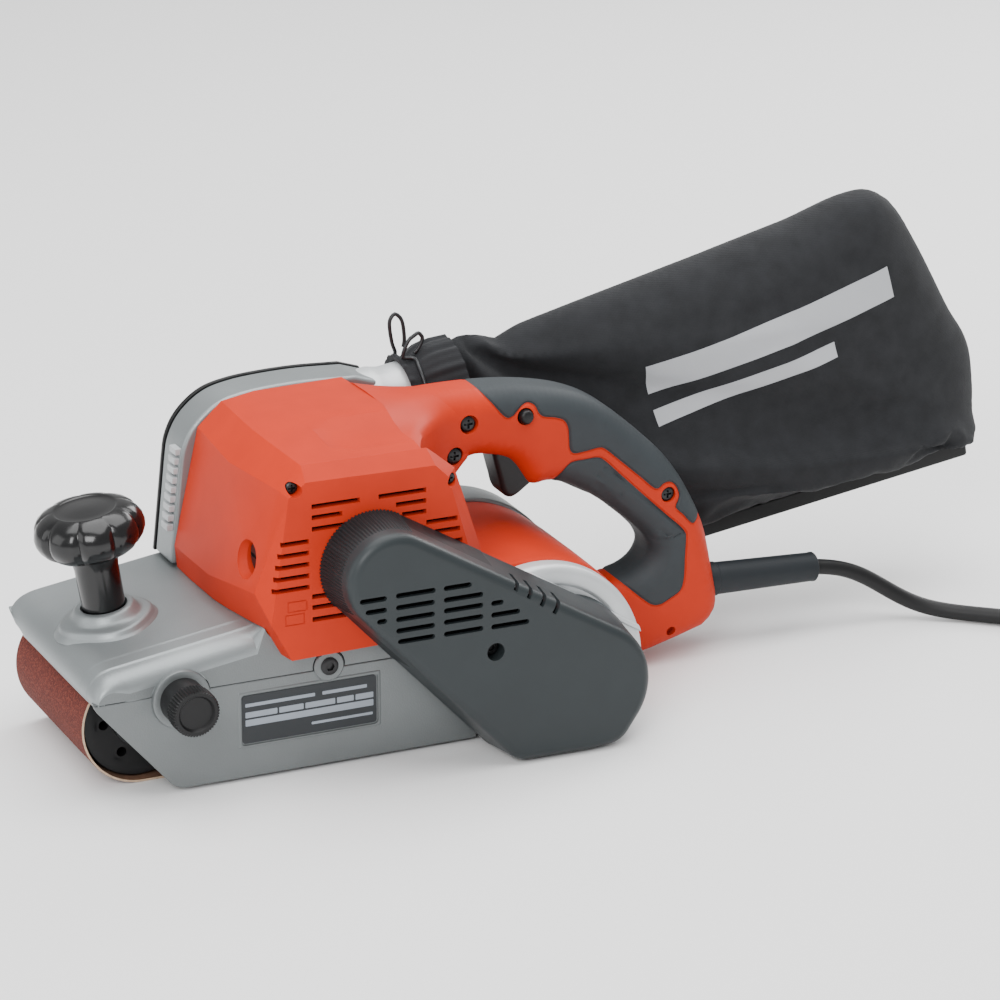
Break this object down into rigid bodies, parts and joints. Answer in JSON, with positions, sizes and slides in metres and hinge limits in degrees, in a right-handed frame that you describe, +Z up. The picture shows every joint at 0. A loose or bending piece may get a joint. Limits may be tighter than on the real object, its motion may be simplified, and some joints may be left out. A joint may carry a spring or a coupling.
{
  "type": "belt sander",
  "caption": "Handheld electric belt sander with a front knob, D-shaped rear handle, side belt drive cover, tracking knob, belt tension lever and a removable cloth dust bag.",
  "frame": {"origin": "centre of the flat sanding face, on the work surface", "axes": "+X from the front knob to the rear handle, -Y to the side with the belt drive cover, +Z up away from the work"},
  "size_m": [0.6216, 0.324, 0.221],
  "materials": {
    "cast_aluminium": "satin cast",
    "orange_plastic": "fine satin texture",
    "grip_rubber": "soft matte",
    "charcoal_plastic": "satin",
    "black_plastic": "satin",
    "black_gloss": "glossy",
    "silver_paint": "satin",
    "abrasive_belt": "gritty",
    "roller_rubber": "matte",
    "roller_metal": "dark coated",
    "steel": "machined",
    "black_steel": "black oxide",
    "copper": "machined",
    "cork": "grainy",
    "belt_rubber": "matte",
    "bag_cloth": "woven matte",
    "cord_rubber": "matte"
  },
  "bodies": {
    "sander_body": {"frame_casting": "cast_aluminium", "side_plate": "cast_aluminium", "dust_duct": "cast_aluminium", "dust_housing": "cast_aluminium", "motor_housing": "orange_plastic", "handle_left": "orange_plastic", "handle_right": "orange_plastic", "rear_fender": "orange_plastic", "grip_top": "grip_rubber", "grip_inner": "grip_rubber", "belt_cover": "charcoal_plastic", "switch_body": "black_plastic", "dust_cover": "black_plastic", "name_plate": "black_plastic", "front_knob": "black_gloss", "gear_case": "silver_paint", "dust_nozzle": "silver_paint", "sanding_belt": "abrasive_belt", "sole_plate": "steel", "tension_spring": "steel", "roller_bearing": "steel", "pinion_bearing": "steel", "stator": "steel", "motor_bearing": "steel", "cover_screw": "black_steel", "wall_screw": "black_steel", "handle_screw_upper": "black_steel", "handle_screw_lower": "black_steel", "handle_screw_rear": "black_steel", "housing_screw_front": "black_steel", "housing_screw_rear": "black_steel", "brush_holder_front": "copper", "brush_holder_rear": "copper", "cork_pad": "cork", "drive_belt": "belt_rubber", "cord_guard": "cord_rubber", "cord": "cord_rubber", "cord_coil": "cord_rubber", "cord_plug": "cord_rubber"},
    "motor_rotor": {"armature": "steel", "commutator": "copper", "cooling_fan": "black_plastic", "dust_fan": "cast_aluminium", "motor_pulley": "steel"},
    "pinion_group": {"pinion_shaft": "steel", "driven_pulley": "cast_aluminium"},
    "drive_roller_group": {"drive_roller": "roller_rubber", "drive_shaft": "steel", "ring_gear": "steel"},
    "tension_carriage": {"tension_slider": "steel"},
    "front_fork_group": {"front_fork": "roller_metal", "front_axle": "steel"},
    "front_roller_group": {"front_roller": "roller_metal"},
    "tension_lever": {"tension_lever": "steel"},
    "tracking_knob": {"tracking_knob": "black_plastic"},
    "trigger": {"trigger": "black_plastic"},
    "lock_button": {"lock_button": "black_plastic"},
    "bag_group": {"dust_bag": "bag_cloth", "bag_clip": "black_steel"},
    "bag_bar": {"bag_slide_bar": "black_plastic"}
  },
  "joints": [
    {"name": "motor_spin", "type": "hinge", "parent": "sander_body", "child": "motor_rotor", "pos_m": [0.01, 0, 0.107], "axis": [0, 1, 0], "continuous": true},
    {"name": "pinion_spin", "type": "hinge", "parent": "sander_body", "child": "pinion_group", "pos_m": [0.09751, 0, 0.04337], "axis": [0, 1, 0], "continuous": true},
    {"name": "drive_roller_spin", "type": "hinge", "parent": "sander_body", "child": "drive_roller_group", "pos_m": [0.10443, 0, 0.0312], "axis": [0, 1, 0], "continuous": true},
    {"name": "lever_swing", "type": "hinge", "parent": "sander_body", "child": "tension_lever", "pos_m": [0, 0.0425, 0.031], "axis": [0, 0, -1], "range_deg": [0, 90]},
    {"name": "tension_slide", "type": "slide", "parent": "sander_body", "child": "tension_carriage", "axis": [1, 0, 0], "range_m": [0, 0.008], "deforming": ["tension_spring"]},
    {"name": "tracking_knob_turn", "type": "hinge", "parent": "sander_body", "child": "tracking_knob", "pos_m": [-0.091, -0.082, 0.05], "axis": [0, 1, 0], "range_deg": [-360, 360]},
    {"name": "tracking_steer", "type": "hinge", "parent": "tension_carriage", "child": "front_fork_group", "pos_m": [-0.064, 0, 0.031], "axis": [0, 0, 1], "range_deg": [-1, 1]},
    {"name": "front_roller_spin", "type": "hinge", "parent": "front_fork_group", "child": "front_roller_group", "pos_m": [-0.10443, 0, 0.0312], "axis": [0, 1, 0], "continuous": true},
    {"name": "trigger_pull", "type": "hinge", "parent": "sander_body", "child": "trigger", "pos_m": [0.104, 0, 0.133], "axis": [0, -1, 0], "range_deg": [0, 8], "stiffness_Nm_per_rad": 1.5, "springref_deg": -5.73},
    {"name": "lock_button_press", "type": "slide", "parent": "sander_body", "child": "lock_button", "axis": [0, 1, 0], "range_m": [0, 0.0025], "stiffness_N_per_m": 400, "springref_m": -0.002},
    {"name": "bag_pull", "type": "slide", "parent": "sander_body", "child": "bag_group", "axis": [0.9877, 0, 0.1564], "range_m": [0, 0.05]},
    {"name": "bar_slide", "type": "slide", "parent": "bag_group", "child": "bag_bar", "axis": [0.9893, 0, 0.1458], "range_m": [0, 0.18]}
  ],
  "couplings": [
    {"joint": "pinion_spin", "follows": "motor_spin", "ratio": 0.28846},
    {"joint": "drive_roller_spin", "follows": "motor_spin", "ratio": 0.1049},
    {"joint": "front_roller_spin", "follows": "motor_spin", "ratio": 0.1049},
    {"joint": "lever_swing", "follows": "tension_slide", "rad_per_m": 196.34},
    {"joint": "tracking_steer", "follows": "tracking_knob_turn", "ratio": 0.002777}
  ]
}
